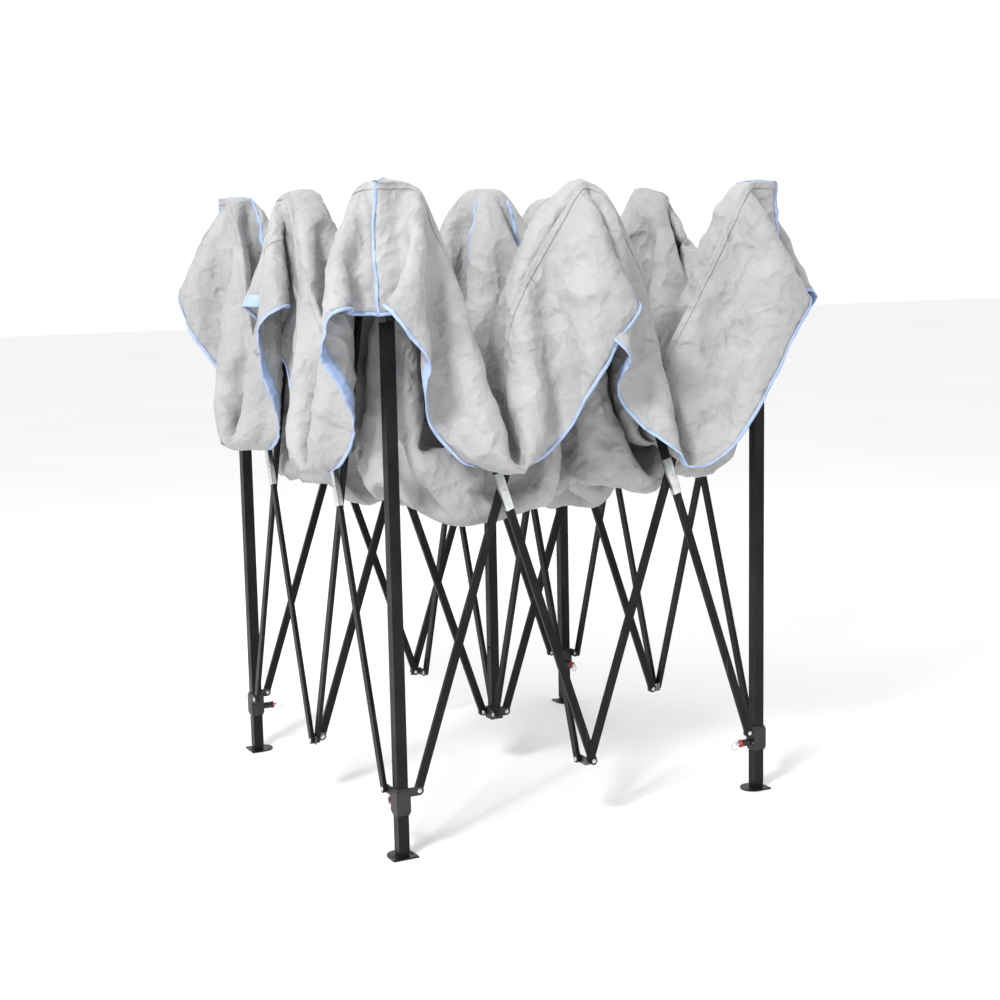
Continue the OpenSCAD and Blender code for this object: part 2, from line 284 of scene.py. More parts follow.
class Shader:
    """A node material being put together round one Principled shader."""

    def __init__(self, name, colour, roughness, metallic=0.0):
        self.material = bpy.data.materials.new(name)
        self.material.use_nodes = True
        self.tree = self.material.node_tree
        self.shader = self.tree.nodes["Principled BSDF"]
        self.shader.inputs["Base Color"].default_value = (*colour, 1)
        self.shader.inputs["Roughness"].default_value = roughness
        self.shader.inputs["Metallic"].default_value = metallic
        self.places = self.tree.nodes.new("ShaderNodeTexCoord")

    def node(self, kind, **inputs):
        made = self.tree.nodes.new(kind)
        for name, value in inputs.items():
            made.inputs[name.replace("_", " ")].default_value = value
        return made

    def link(self, output, target):
        self.tree.links.new(output, target)

    def noise(self, scale, detail=4.0, stretch=(1, 1, 1), places="Object", roughness=0.55):
        mapping = self.node("ShaderNodeMapping")
        mapping.inputs["Scale"].default_value = stretch
        self.link(self.places.outputs[places], mapping.inputs["Vector"])
        made = self.node("ShaderNodeTexNoise", Scale=scale, Detail=detail, Roughness=roughness)
        self.link(mapping.outputs["Vector"], made.inputs["Vector"])
        return made.outputs["Fac"]

    def ramp(self, source, stops):
        """stops is a list of (place, colour or grey)."""
        made = self.node("ShaderNodeValToRGB")
        self.link(source, made.inputs["Fac"])
        elements = made.color_ramp.elements
        while len(elements) < len(stops):
            elements.new(0.5)
        for element, (place, colour) in zip(elements, stops):
            element.position = place
            element.color = (colour,) * 3 + (1,) if isinstance(colour, (int, float)) else (*colour, 1)
        return made.outputs["Color"]

    def mix(self, share, first, second, mode="MIX"):
        made = self.node("ShaderNodeMix")
        made.data_type = "RGBA"
        made.blend_type = mode
        for value, name in ((share, 0), (first, 6), (second, 7)):
            if isinstance(value, (int, float)):
                made.inputs[name].default_value = value
            elif isinstance(value, tuple):
                made.inputs[name].default_value = (*value, 1)
            else:
                self.link(value, made.inputs[name])
        return made.outputs[2]

    def bump(self, height, strength, distance, normal=None):
        made = self.node("ShaderNodeBump", Strength=strength, Distance=distance)
        self.link(height, made.inputs["Height"])
        if normal:
            self.link(normal, made.inputs["Normal"])
        return made.outputs["Normal"]

    def finish(self, colour=None, roughness=None, normal=None):
        for value, name in ((colour, "Base Color"), (roughness, "Roughness"), (normal, "Normal")):
            if value is not None:
                self.link(value, self.shader.inputs[name])
        return self.material


def plain_material(name, colour, roughness):
    made = Shader(name, colour, roughness)
    shade = made.ramp(made.noise(0.7), [(0.3, tuple(c * 0.97 for c in colour)), (0.7, colour)])
    return made.finish(colour=shade)


def powder_coat():
    """Black semi-gloss powder coat: fine orange peel, dust, and bare grey rubbed through here and there."""
    made = Shader("black_powder_coat", (0.008, 0.009, 0.009), 0.38)
    made.shader.inputs["Specular IOR Level"].default_value = 0.15
    dust = made.noise(9, 6)
    scuffs = made.ramp(made.noise(60, 8, (1, 1, 0.12)), [(0.62, 0), (0.74, 1)])
    colour = made.ramp(dust, [(0.3, (0.005, 0.006, 0.006)), (0.75, (0.015, 0.016, 0.016))])
    colour = made.mix(scuffs, colour, (0.045, 0.047, 0.046))
    roughness = made.ramp(made.noise(22, 5), [(0.3, 0.30), (0.7, 0.46)])
    peel = made.noise(900, 2)
    return made.finish(colour, roughness, made.bump(peel, 0.12, 0.0006))


def moulded_black():
    """Satin black glass-filled nylon."""
    made = Shader("moulded_black", (0.016, 0.017, 0.017), 0.48)
    colour = made.ramp(made.noise(14, 6), [(0.3, (0.012, 0.013, 0.013)), (0.75, (0.028, 0.029, 0.029))])
    grain = made.noise(1500, 3)
    roughness = made.ramp(made.noise(35, 4), [(0.3, 0.42), (0.7, 0.58)])
    return made.finish(colour, roughness, made.bump(grain, 0.2, 0.0004))


def plated(name, dark, light, roughness):
    """Zinc plate with cloudy spangle and fine drawn lines."""
    made = Shader(name, light, roughness, 1.0)
    cloud = made.noise(55, 5)
    colour = made.ramp(cloud, [(0.25, dark), (0.75, light)])
    lines = made.noise(260, 4, (1, 1, 0.06))
    rough = made.ramp(lines, [(0.25, roughness - 0.08), (0.75, roughness + 0.12)])
    return made.finish(colour, rough, made.bump(lines, 0.15, 0.0003))


def red_plastic():
    made = Shader("red_plastic", (0.42, 0.012, 0.016), 0.3)
    made.shader.inputs["Coat Weight"].default_value = 0.3
    colour = made.ramp(made.noise(120, 4), [(0.3, (0.33, 0.008, 0.012)), (0.7, (0.47, 0.014, 0.018))])
    return made.finish(colour, None, made.bump(made.noise(700, 2), 0.1, 0.0003))


def cloth_material(name, light, shade, weave_scale):
    """Coated polyester: a plain weave, creases, faint handling marks and a soft sheen. UVs are metres of cloth."""
    made = Shader(name, light, 0.62)
    made.shader.inputs["Sheen Weight"].default_value = 0.12
    made.shader.inputs["Sheen Roughness"].default_value = 0.5
    made.shader.inputs["Specular IOR Level"].default_value = 0.35
    marks = made.noise(5.5, 7, places="UV", roughness=0.65)
    colour = made.ramp(marks, [(0.30, shade), (0.62, light)])
    heights = []
    for turn in (0, 1):
        wave = made.node("ShaderNodeTexWave", Scale=weave_scale, Distortion=0.3, Detail=1.0)
        wave.bands_direction = "XY"[turn]
        made.link(made.places.outputs["UV"], wave.inputs["Vector"])
        heights.append(wave.outputs["Fac"])
    weave = made.mix(0.5, heights[0], heights[1], "MULTIPLY")
    normal = made.bump(weave, 0.18, 0.0003)
    for scale, detail, depth in ((26, 1.2, 0.0018), (11, 1.5, 0.0060), (4.5, 1.2, 0.0120)):
        cloud = made.noise(scale, detail, places="UV", roughness=0.5)
        creases = made.ramp(cloud, [(0.36, 0.0), (0.5, 1.0), (0.62, 0.0)])
        normal = made.bump(creases, 0.7, depth, normal)
    roughness = made.ramp(made.noise(18, 4, places="UV"), [(0.3, 0.55), (0.7, 0.72)])
    return made.finish(colour, roughness, normal)


# ---------------------------------------------------------------- fittings on the frame

def slot_materials():
    return {
        "black_steel": powder_coat(),
        "black_plastic": moulded_black(),
        "bracket_steel": plated("dark_zinc", (0.10, 0.105, 0.11), (0.24, 0.25, 0.26), 0.42),
        "zinc_steel": plated("bright_zinc", (0.52, 0.54, 0.54), (0.80, 0.82, 0.80), 0.32),
        "red_plastic": red_plastic(),
    }


def dress_nodes(materials):
    """The frame's own nodes take the material of their slot."""
    for entry in frame["record"]["subparts"]:
        node = frame["nodes"][entry["node"]]
        if entry["material_slot"] not in materials:
            continue
        node.data.materials.clear()
        node.data.materials.append(materials[entry["material_slot"]])


def rivets():
    """Domed heads over every rivet's ends: {body: [(place, outward direction)]}."""
    found = {}

    def pair(k, body, across, along_y, outer, inner):
        """across is (x, z) for a rivet along Y and (y, z) for one along X; outer and inner are its ends."""
        for end, way in ((outer, -1), (inner, 1)):
            place = (across[0], end, across[1]) if along_y else (end, across[0], across[1])
            way = (0, way, 0) if along_y else (way, 0, 0)
            found.setdefault(body, []).append((quarter(k, place), quarter(k, way)))

    head, face = 0.0015, BAR_T / 2 + 0.0005
    near, far = PLATE_T / 2, (OUTER_Y - INNER_Y) / 2 + face
    out_bar, in_bar = (-PLATE_Y - far - head, -PLATE_Y + near + head), (-PLATE_Y - near - head, -PLATE_Y + far + head)
    through = (-OUTER_Y - BAR_T / 2 - SLEEVE_WALL - head, -INNER_Y + face + head)
    both = (-OUTER_Y - face - head, -INNER_Y + face + head)
    side = lambda ends: tuple(e - HALF for e in ends)
    for k, name in enumerate(SIDES):
        left, right = LEGS[k], LEGS[(k + 1) % 4]
        reach, centre = HALF - LEG_EAR, (HALF - LEG_EAR) / 2
        pair(k, f"{left}_leg", (-reach, TOP), True, *side(out_bar))
        pair(k, f"{left}_slider", (-reach, LOW), True, *side(in_bar))
        pair(k, f"{right}_leg", (reach, TOP), True, *side(in_bar))
        pair(k, f"{right}_slider", (reach, LOW), True, *side(out_bar))
        pair(k, f"{name}_bar_left_outer", (-centre, MID), True, *side(through))
        pair(k, f"{name}_bar_right_outer", (centre, MID), True, *side(through))
        pair(k, f"{name}_top_bracket", (0, TOP), True, *side(both))
        pair(k, f"{name}_bottom_bracket", (0, LOW), True, *side(both))
        pair(k, f"{name}_top_bracket", (MID_EAR - HALF, TOP), False, *in_bar)
        pair(k, f"{name}_bottom_bracket", (MID_EAR - HALF, LOW), False, *out_bar)
        pair(k, f"{name}_cross_outer", ((MID_EAR - HALF - HUB_EAR) / 2, MID), False, *through)
        pair(k, "hub_top", (-HUB_EAR, TOP), False, *out_bar)
        pair(k, "centre_pole", (-HUB_EAR, LOW), False, *in_bar)
    return found


def add_rivets(zinc):
    """Domed zinc heads: a short rim, then a low dome."""
    radius, rim, dome, sunk = 0.0057, 0.0009, 0.0020, 0.0018
    profile = [(0, 0), (radius, 0), (radius, rim)]
    profile += [(radius * math.cos(a), rim + dome * math.sin(a)) for a in (0.35, 0.7, 1.05, 1.35)]
    profile += [(0, rim + dome)]
    for body, ends in rivets().items():
        parts = [lathe(profile, place - way * sunk, way, 20) for place, way in ends]
        piece(f"{body}_rivet_heads", parts, zinc, body, 40)


def add_sleeves(zinc):
    """Zinc sleeves round the middles of the outer bars."""
    lean = Vector((-math.sin(FOLD), 0, math.cos(FOLD)))
    cross_lean = Vector((0, math.sin(FOLD), math.cos(FOLD)))
    reach = (HALF - LEG_EAR) / 2
    size = (BAR_W + 2 * SLEEVE_WALL + 0.0007, BAR_T + 2 * SLEEVE_WALL + 0.0007)
    for k, name in enumerate(SIDES):
        places = {
            "bar_left_outer": (Vector((-reach, -HALF - OUTER_Y, MID)), lean, Vector((0, 1, 0))),
            "bar_right_outer": (Vector((reach, -HALF - OUTER_Y, MID)), lean, Vector((0, 1, 0))),
            "cross_outer": (Vector((-OUTER_Y, (MID_EAR - HALF - HUB_EAR) / 2, MID)), cross_lean, Vector((1, 0, 0))),
        }
        for bar, (centre, along, deep) in places.items():
            wide = along.cross(deep)
            tube = rounded_tube(quarter(k, centre), quarter(k, along * (SLEEVE_L + 0.0008)), quarter(k, wide), size,
                                SLEEVE_WALL * 0.6, 0.0022)
            piece(f"{name}_{bar}_sleeve", [tube], zinc, f"{name}_{bar}", 35)


def add_pull_pins(materials):
    """Shaft, red collar and split ring of each pull pin, which replace its plain node."""
    for k, name in enumerate(LEGS):
        body = f"{name}_pull_pin"
        origin = quarter(k, (-HALF, -HALF, BARREL_Z))
        way = quarter(k, (0, 1, 0))

        def at(distance):
            return origin + way * distance

        start, collar, tip = LEG_W / 2 + 0.0004, BARREL_END + 0.0003, BARREL_END + 0.012
        shaft = lathe([(0, 0), (0.0034, 0), (0.004, 0.0008), (0.004, tip - start), (0.0046, tip - start),
                       (0.0046, tip - start + 0.002), (0.003, tip - start + 0.0032), (0, tip - start + 0.0032)],
                      at(start), way, 24)
        pin = piece(f"{name}_pull_pin_shaft", [shaft], materials["zinc_steel"], body, 35)
        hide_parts(body)
        grip = [(0, 0), (0.0098, 0), (0.0105, 0.0007), (0.0105, 0.0014), (0.0099, 0.0018), (0.0099, 0.0026),
                (0.0105, 0.0030), (0.0105, 0.0036), (0.0098, 0.0043), (0.0052, 0.0043), (0, 0.0040)]
        piece(f"{name}_pull_pin_collar", [lathe(grip, at(collar), way, 36)],
              materials["red_plastic"], body, 40)
        side = quarter(k, (1, 0, 0))
        middle = at(BARREL_END + 0.019) - Vector((0, 0, 0.005))
        coils = [ring(middle + side * shift, side, 0.0110, 0.0009) for shift in (0, 0.0017)]
        piece(f"{name}_pull_ring", coils, materials["zinc_steel"], body)


def add_slider_trim(materials):
    """Screws where the barrel joins the slider."""
    head = [(0, 0), (0.0026, 0), (0.0026, 0.0008), (0.0019, 0.0017), (0, 0.0020)]
    for k, name in enumerate(LEGS):
        body = f"{name}_slider"
        way = quarter(k, (0, 1, 0))
        screws = []
        for x in (-0.0125, 0.0125):
            base = quarter(k, (-HALF + x, -HALF + 0.0185 - 0.0006, BARREL_Z))
            screws.append(lathe(head, base, way, 16))
        piece(f"{name}_slider_screws", screws, materials["zinc_steel"], body, 40)


def add_feet(materials):
    """Weld beads where the inner legs meet their foot plates."""
    inner = LEG_W - 2 * 0.0012 - 0.0006
    for k, name in enumerate(LEGS):
        centre = quarter(k, (-HALF, -HALF, 0.0035 + 0.0012))
        bead = rounded_tube(centre, Vector((0, 0, 0.0030)), Vector((1, 0, 0)), (inner + 0.0042, inner + 0.0042),
                            0.0022, 0.0030)
        piece(f"{name}_foot_weld", [bead], materials["black_steel"], f"{name}_inner_leg", 60)


# ---------------------------------------------------------------- the canopy as cut, and its simulation

class Canopy:
    """The cloth as a net: a square roof of n by n cells and a skirt of m rows round its rim.

    flat holds its points as it hangs with the frame open, and hung its points as it hangs now.
    """

    def __init__(self, n, m):
        self.n, self.m = n, m
        u = np.linspace(-1, 1, n + 1)
        across, along = np.meshgrid(u, u, indexing="ij")
        height = EAVE + PEAK_RISE * (1 - np.maximum(abs(across), abs(along)))
        roof = np.stack([EDGE * across, EDGE * along, height], -1).reshape(-1, 3)
        self.roof = np.arange((n + 1) ** 2).reshape(n + 1, n + 1)
        grid = self.roof
        rim = np.concatenate([grid[:-1, 0], grid[-1, :-1], grid[:0:-1, -1], grid[0, :0:-1]])
        drops = [roof[rim] - [0, 0, VALANCE * k / m] for k in range(1, m + 1)]
        self.flat = np.concatenate([roof, *drops])
        rows = [(n + 1) ** 2 + k * 4 * n + np.arange(4 * n) for k in range(m)]
        self.skirt = np.array([rim, *rows])
        self.hung = self.flat.copy()

    def pairs(self):
        """Pairs of points held at their distance, each with a stiffness: threads, bias and bending."""
        found = {1.0: [], 0.35: [], 0.05: []}
        wrapped = np.concatenate([self.skirt, self.skirt[:, :2]], 1)
        for grid, extra in ((self.roof, 0), (wrapped, 2)):
            width = grid.shape[1] - extra

            def link(first, second, kind):
                found[kind].append(np.stack([first.ravel(), second.ravel()], 1))

            link(grid[:-1, :width], grid[1:, :width], 1.0)
            link(grid[:-2, :width], grid[2:, :width], 0.05)
            one = width if extra else width - 1
            two = width if extra else width - 2
            link(grid[:, :one], grid[:, 1:one + 1], 1.0)
            link(grid[:-1, :one], grid[1:, 1:one + 1], 0.35)
            link(grid[1:, :one], grid[:-1, 1:one + 1], 0.35)
            link(grid[:, :two], grid[:, 2:two + 2], 0.05)
        ends = np.concatenate([np.concatenate(v) for v in found.values()])
        stiff = np.concatenate([np.full(sum(map(len, v)), k) for k, v in found.items()])
        _, first = np.unique(np.sort(ends, 1), axis=0, return_index=True)
        return ends[np.sort(first)], stiff[np.sort(first)]

    def pins(self):
        """(points, travel as the frame folds from open to rest) of the nine peaks and one tied corner."""
        found = []
        x, y, z = self.flat.T
        for i in (-1, 0, 1):
            for j in (-1, 0, 1):
                reach = [0.045 if side else 0.030 for side in (i, j)] if i or j else [0.045, 0.045]
                near = (abs(x - i * HALF_OPEN) <= reach[0]) & (abs(y - j * HALF_OPEN) <= reach[1])
                near = np.flatnonzero(near & (z > EAVE - 0.042))
                away = np.maximum(abs(x[near] - i * HALF_OPEN), abs(y[near] - j * HALF_OPEN))
                sunk = np.minimum(EAVE + 0.006 - 0.15 * away - z[near], 0)
                found.append((near, np.stack([sunk * 0 - i * OUT, sunk * 0 - j * OUT, sunk], 1)))
        found.append((self.skirt[-1, :1], (OUT, OUT, 0)))
        return found


def in_turns(ends, count):
    """Sorts the pairs into groups in which no point comes twice, so that a group is solved in one step."""
    used = [0] * count
    label = np.zeros(len(ends), int)
    for k, (a, b) in enumerate(ends.tolist()):
        free = ~(used[a] | used[b])
        bit = free & -free
        label[k] = bit.bit_length() - 1
        used[a] |= bit
        used[b] |= bit
    return [np.flatnonzero(label == c) for c in range(label.max() + 1)]


def push_off_frame(points, fold):
    """Moves points out of the scissor trusses, the legs and the pole. fold is 0 open and 1 at rest."""
    half = HALF_OPEN - OUT * fold
    depth = (BAR * math.cos(OPEN) + RISE * fold) / 2
    lean = math.atan2((half - LEG_EAR) / 2, depth)
    down, over = math.cos(lean), math.sin(lean)
    thick, top, ends = 0.026, TOP + 0.015, 0.040
    hit = np.zeros(len(points), bool)
    for k in range(4):
        spans = (((-half + LEG_EAR, -half - PLATE_Y), (0, -half - PLATE_Y)),
                 ((0, -half - PLATE_Y), (half - LEG_EAR, -half - PLATE_Y)),
                 ((-PLATE_Y, MID_EAR - half), (-PLATE_Y, -HUB_EAR)))
        for start, end in spans:
            a = np.array(quarter(k, (*start, 0)))[:2]
            way = np.array(quarter(k, (*end, 0)))[:2] - a
            length = np.hypot(*way)
            way /= length
            out = np.array((-way[1], way[0]))
            off = (points[:, :2] - a) @ out
            near = np.flatnonzero(abs(off) < thick)
            t = (points[near, :2] - a) @ way
            ridge = TOP + 0.012 / over - np.minimum(t, length - t) * 2 * depth / length
            under = (np.minimum(ridge, top) - points[near, 2]) * over
            inside = (t > -ends) & (t < length + ends) & (under > 0)
            near, under, t = near[inside], under[inside], t[inside]
            sideways = thick - abs(off[near])
            lift = under < sideways
            up = near[lift]
            points[up, :2] += (np.where(t[lift] < length / 2, down, -down) * under[lift])[:, None] * way
            points[up, 2] += over * under[lift]
            aside = near[~lift]
            points[aside, :2] += (np.where(off[aside] < 0, -1, 1) * sideways[~lift])[:, None] * out
            hit[near] = True
    posts = [((i * half, j * half), LEG_ROOM, 0) for i in (-1, 1) for j in (-1, 1)]
    hub = RISE * (1 - fold) + TOP
    for post, width, base in posts + [((0, 0), LEG_ROOM, 0), ((0, 0), HUB_ROOM, hub - HUB_DEPTH)]:
        away = points[:, :2] - post
        high = top if any(post) else hub + 0.015
        near = np.flatnonzero((abs(away).max(1) < width) & (points[:, 2] < high) & (points[:, 2] > base))
        if len(near):
            room = width - abs(away[near])
            axis = room.argmin(1)
            points[near, axis] += np.where(away[near, axis] < 0, -1, 1) * room[np.arange(len(near)), axis]
            hit[near] = True
    return hit


def push_apart(points, reach, loose):
    """Keeps points of different folds at least reach apart, found through a grid of cells."""
    cell = np.floor(points / reach).astype(np.int64) + 512
    code = (cell[:, 0] << 20) | (cell[:, 1] << 10) | cell[:, 2]
    order = np.argsort(code, kind="stable")
    ranked = code[order]
    move, count = np.zeros_like(points), np.zeros(len(points))
    steps = [(i << 20) + (j << 10) + k for i in (-1, 0, 1) for j in (-1, 0, 1) for k in (-1, 0, 1)]
    for step in (s for s in steps if s >= 0):
        first = np.searchsorted(ranked, code + step)
        for extra in range(3):
            slot = np.minimum(first + extra, len(ranked) - 1)
            a = np.flatnonzero((first + extra < len(ranked)) & (ranked[slot] == code + step))
            b = order[slot[a]]
            if step == 0:
                a, b = a[a < b], b[a < b]
            gap = points[a] - points[b]
            apart = np.sqrt((gap ** 2).sum(1))
            close = (apart < reach) & (apart > 1e-7)
            a, b, gap, apart = a[close], b[close], gap[close], apart[close]
            shift = gap * ((reach - apart) / apart / 2)[:, None]
            for axis in range(3):
                move[:, axis] += np.bincount(a, shift[:, axis], len(points))
                move[:, axis] -= np.bincount(b, shift[:, axis], len(points))
            count += np.bincount(a, minlength=len(points)) + np.bincount(b, minlength=len(points))
    pushed = (count > 0) & loose
    points[pushed] += move[pushed] / count[pushed, None]


def drape(canopy, seed=4, fold_time=2.4, settle_time=1.5, step_time=1 / 240):
    """Folds the frame under the cloth and lets it hang: position-based dynamics with gravity, air and contact."""
    slack, stir, gust, top_speed = 1.008, 0.006, 0.8, 4
    air_folding, air_settling, edge_pull = 1.2, 3.0, 0.12
    rng = np.random.default_rng(seed)
    flat = canopy.flat
    ends, stiff = canopy.pairs()
    length = np.linalg.norm(flat[ends[:, 0]] - flat[ends[:, 1]], axis=1)
    pins = canopy.pins()
    held = np.concatenate([p for p, _ in pins])
    travel = np.concatenate([np.broadcast_to(t, (len(p), 3)) for p, t in pins])
    loose = np.ones(len(flat), bool)
    loose[held] = False
    groups = []
    for group in in_turns(ends, len(flat)):
        a, b = ends[group].T
        weight = np.maximum(loose[a].astype(float) + loose[b], 1)
        groups.append((a, b, length[group], stiff[group] * loose[a] / weight, stiff[group] * loose[b] / weight))
    tethers = [(p[len(p) // 2], np.linalg.norm(flat - flat[p[len(p) // 2]], axis=1) * slack) for p, _ in pins[:9]]
    points = flat.copy()
    points[loose] += rng.normal(0, stir, (loose.sum(), 3))
    speed = np.zeros_like(points)
    gusts = [(rng.normal(0, 1, 3), *rng.uniform(1.5, 4.5, 2), rng.uniform(0, 6.28)) for _ in range(6)]
    fold_steps, settle_steps = int(fold_time / step_time), int(settle_time / step_time)
    for step in range(fold_steps + settle_steps):
        share = min(1, step / fold_steps)
        share = share * share * (3 - 2 * share)
        before = points.copy()
        rest_on = np.clip((CUSHION - points[:, 2]) / 0.05, 0, 4)
        speed[:, 2] += 9.81 * (rest_on - 1) * step_time
        if step < fold_steps:
            for push, kx, ky, phase in gusts:
                wave = np.sin(kx * flat[:, 0] + ky * flat[:, 1] + phase + 2.2 * step * step_time)
                speed += wave[:, None] * push * step_time * gust
        speed *= 1 - (air_folding if step < fold_steps else air_settling) * step_time
        rate = np.sqrt((speed ** 2).sum(1))
        speed[rate > top_speed] *= (top_speed / rate[rate > top_speed])[:, None]
        points[loose] += speed[loose] * step_time
        points[held] = flat[held] + travel * share
        for _ in range(3 if step > fold_steps + settle_steps * 0.7 else 1):
            for a, b, rest, take_a, take_b in groups:
                gap = points[a] - points[b]
                now = np.sqrt(np.einsum("ij,ij->i", gap, gap))
                change = (now - rest) / now
                points[a] -= gap * (change * take_a)[:, None]
                points[b] += gap * (change * take_b)[:, None]
        for anchor, most in tethers:
            gap = points - points[anchor]
            now = np.sqrt(np.einsum("ij,ij->i", gap, gap))
            far = np.flatnonzero((now > most) & loose)
            points[far] -= gap[far] * ((now[far] - most[far]) / now[far])[:, None]
        reach = HALF_OPEN - OUT * share + SPREAD
        points[:, :2] -= edge_pull * np.sign(points[:, :2]) * np.maximum(abs(points[:, :2]) - reach, 0)
        if step % 3 == 0:
            push_apart(points, 1.56 * EDGE / canopy.n, loose)
        hit = push_off_frame(points, share)
        points[held] = flat[held] + travel * share
        speed = (points - before) / step_time
        speed[hit] *= 0.97
    canopy.hung = points


# ---------------------------------------------------------------- from the net to cloth pieces

def finer(grid, wrap):
    """A net of points with twice the cells each way, on a smooth curve through the old points."""
    def along(rows, closed):
        if closed:
            near = [np.roll(rows, s, 0) for s in (1, 0, -1, -2)]
        else:
            padded = np.concatenate([2 * rows[:1] - rows[1:2], rows, 2 * rows[-1:] - rows[-2:-1]])
            near = [padded[:-3], padded[1:-2], padded[2:-1], padded[3:]]
        middle = (9 * (near[1] + near[2]) - near[0] - near[3]) / 16
        count = 2 * len(rows) if closed else 2 * len(rows) - 1
        out = np.empty((count, *rows.shape[1:]))
        out[0::2] = rows
        out[1::2] = middle
        return out

    swapped = along(grid.swapaxes(0, 1), wrap).swapaxes(0, 1)
    return along(swapped, False)


def normals_of(grid, wrap):
    """Unit normals of a net of points."""
    if wrap:
        across = np.roll(grid, -1, 1) - np.roll(grid, 1, 1)
    else:
        across = np.gradient(grid, axis=1)
    out = np.cross(np.gradient(grid, axis=0), across)
    return out / np.maximum(np.linalg.norm(out, axis=-1, keepdims=True), 1e-12)


def ridged(u, v, seed, wavelength):
    """Smooth seeded noise folded at nought, so that it has sharp creases: 0 in a crease and up to about 1."""
    rng = np.random.default_rng(seed)
    total = np.zeros_like(u)
    for _ in range(9):
        angle, phase = rng.uniform(0, math.pi), rng.uniform(0, 2 * math.pi)
        pitch = wavelength * rng.uniform(0.7, 1.5)
        total += np.sin(2 * math.pi * (u * math.cos(angle) + v * math.sin(angle)) / pitch + phase)
    return np.minimum(abs(total) / 3.2, 1)


class Net:
    """A grid of cloth points, hung and flat, with room for ribbons to be laid on it."""

    def __init__(self, hung, flat, wrap):
        self.hung, self.flat, self.wrap = hung, flat, wrap
        self.out = normals_of(hung, wrap)
        self.out_flat = normals_of(flat, wrap)

    def faces(self):
        rows, columns = self.hung.shape[:2]
        last = columns if self.wrap else columns - 1
        i, j = np.meshgrid(np.arange(rows - 1), np.arange(last), indexing="ij")
        k = (j + 1) % columns
        here, below = i * columns, (i + 1) * columns
        return np.stack([here + j, below + j, below + k, here + k], -1).reshape(-1, 4)

    def sample(self, grid, row, column):
        """Values of a grid at fractions of its rows and columns; past its edge it goes straight on."""
        rows, columns = grid.shape[:2]
        r = np.clip(np.floor(row).astype(int), 0, rows - 2)
        fr = (row - r)[..., None]
        if self.wrap:
            c = np.floor(column).astype(int)
            fc, c, d = (column - c)[..., None], c % columns, (c + 1) % columns
        else:
            c = np.clip(np.floor(column).astype(int), 0, columns - 2)
            fc, d = (column - c)[..., None], c + 1
        first = grid[r, c] * (1 - fc) + grid[r, d] * fc
        second = grid[r + 1, c] * (1 - fc) + grid[r + 1, d] * fc
        return first * (1 - fr) + second * fr

    def ribbon(self, row, column, lift):
        """Hung and flat points of a ribbon: lift is its height off the cloth across its width."""
        points = []
        for grid, normals in ((self.hung, self.out), (self.flat, self.out_flat)):
            normal = self.sample(normals, np.clip(row, 0, grid.shape[0] - 1), column)
            points.append(self.sample(grid, row, column) + normal * np.asarray(lift)[None, :, None])
        return points


def fold_cage():
    """A lattice that fills the space between the legs, and draws in and out with the middles of the sides."""
    data = bpy.data.lattices.new("fold_cage")
    data.points_u = data.points_v = data.points_w = 2
    data.interpolation_type_u = data.interpolation_type_v = data.interpolation_type_w = "KEY_LINEAR"
    cage = bpy.data.objects.new("fold_cage", data)
    bpy.context.scene.collection.objects.link(cage)
    cage.location = (0, 0, TOP / 2)
    cage.scale = (2 * HALF, 2 * HALF, 4 * TOP)
    for body, axis, sign in (("right_top_bracket", 0, 1), ("left_top_bracket", 0, -1),
                             ("back_top_bracket", 1, 1), ("front_top_bracket", 1, -1)):
        group = cage.vertex_groups.new(name=body)
        group.add([i for i, point in enumerate(data.points) if point.co[axis] * sign > 0], 1, "REPLACE")
        hook = cage.modifiers.new(body, "HOOK")
        hook.object = frame["bodies"][body]
        hook.vertex_group = body
        hook.falloff_type = "NONE"
        hook.strength = 1
        hook.matrix_inverse = Matrix.Translation(cage.location) @ Matrix.Diagonal((*cage.scale, 1))
    return cage


def follow_frame(made, hung, flat, cage):
    """Hooks draw the cloth straight as the frame opens; the cage spreads it. Open, the two give the flat roof."""
    flat = flat.reshape(-1, 3).copy()
    side, place = np.sign(flat[:, :2]), abs(flat[:, :2])
    flat[:, :2] = side * np.where(place > HALF_OPEN, place - OUT, place * HALF / HALF_OPEN)
    move = flat - hung.reshape(-1, 3)
    pulls = {
        "right_top_bracket": (0, 1, OUT), "left_top_bracket": (0, -1, OUT),
        "back_top_bracket": (1, 1, OUT), "front_top_bracket": (1, -1, OUT), "centre_pole": (2, 1, RISE),
    }
    for body, (axis, sign, travel) in pulls.items():
        group = made.vertex_groups.new(name=body)
        for index, weight in enumerate(np.clip(sign * move[:, axis] / travel / 2, 0, 1).tolist()):
            if weight > 0:
                group.add([index], weight, "REPLACE")
        for half in ("first", "second"):
            hook = made.modifiers.new(f"{body}_{half}", "HOOK")
            hook.object = frame["bodies"][body]
            hook.vertex_group = body
            hook.falloff_type = "NONE"
            hook.strength = 1
    made.modifiers.new("fold_cage", "LATTICE").object = cage


